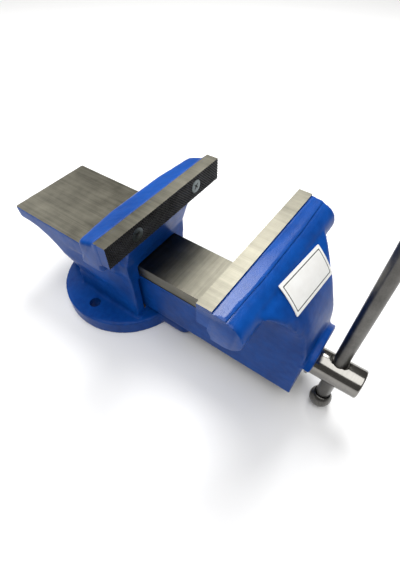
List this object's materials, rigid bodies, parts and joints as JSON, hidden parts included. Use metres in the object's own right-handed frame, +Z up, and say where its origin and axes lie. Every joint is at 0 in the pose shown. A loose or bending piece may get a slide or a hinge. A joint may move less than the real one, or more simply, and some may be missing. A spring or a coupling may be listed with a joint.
{
  "type": "bench vise",
  "caption": "Engineer's bench vise with a round fixed base, anvil, screwed serrated jaw plates, box-section slide, screw spindle and sliding tommy bar.",
  "frame": {"origin": "centre of the round base, on the bench surface", "axes": "+Z up, +Y along the slide from the spindle's handle towards the anvil, +X to the right seen from the handle"},
  "size_m": [0.153, 0.3845, 0.2485],
  "materials": {
    "blue_paint": "glossy enamel over a rough casting, with ground bare steel on the jaw tops, anvil and slide",
    "hardened_plate": "blackened, with fine crossed serrations and a ground top edge",
    "zinc": "zinc plated",
    "cast_nut": "bare casting with a cut thread",
    "black_bolt": "blackened steel",
    "spindle_steel": "turned and polished",
    "spring_steel": "spring steel",
    "bar_steel": "dark satin steel",
    "label": "plain white film label with a thin dark border and no lettering"
  },
  "bodies": {
    "fixed_jaw": {"fixed_jaw_body": "blue_paint", "fixed_jaw_plate": "hardened_plate", "fixed_plate_screw_left": "zinc", "fixed_plate_screw_right": "zinc", "main_nut": "cast_nut", "nut_bolt_front": "black_bolt", "nut_bolt_washer_front": "zinc", "nut_bolt_rear": "black_bolt", "nut_bolt_washer_rear": "zinc"},
    "sliding_jaw": {"sliding_jaw_body": "blue_paint", "sliding_jaw_plate": "hardened_plate", "sliding_plate_screw_left": "zinc", "sliding_plate_screw_right": "zinc", "blank_label": "label"},
    "spindle": {"spindle": "spindle_steel", "thrust_washer": "black_bolt", "retaining_spring": "spring_steel", "retaining_washer": "zinc", "split_pin": "spring_steel"},
    "tommy_bar": {"tommy_bar": "bar_steel", "bar_knob_lower": "bar_steel", "bar_knob_upper": "bar_steel"}
  },
  "joints": [
    {"name": "jaw_slide", "type": "slide", "parent": "fixed_jaw", "child": "sliding_jaw", "axis": [0, 1, 0], "range_m": [-0.0661, 0.0831]},
    {"name": "spindle_turn", "type": "hinge", "parent": "sliding_jaw", "child": "spindle", "pos_m": [0, -0.25, 0.054], "axis": [0, 1, 0], "range_deg": [-3960, 4980]},
    {"name": "tommy_slide", "type": "slide", "parent": "spindle", "child": "tommy_bar", "axis": [0.1495, 0, 0.9888], "range_m": [-0.164, 0.0222]}
  ],
  "couplings": [
    {"joint": "jaw_slide", "follows": "spindle_turn", "m_per_rad": 0.00095493}
  ]
}
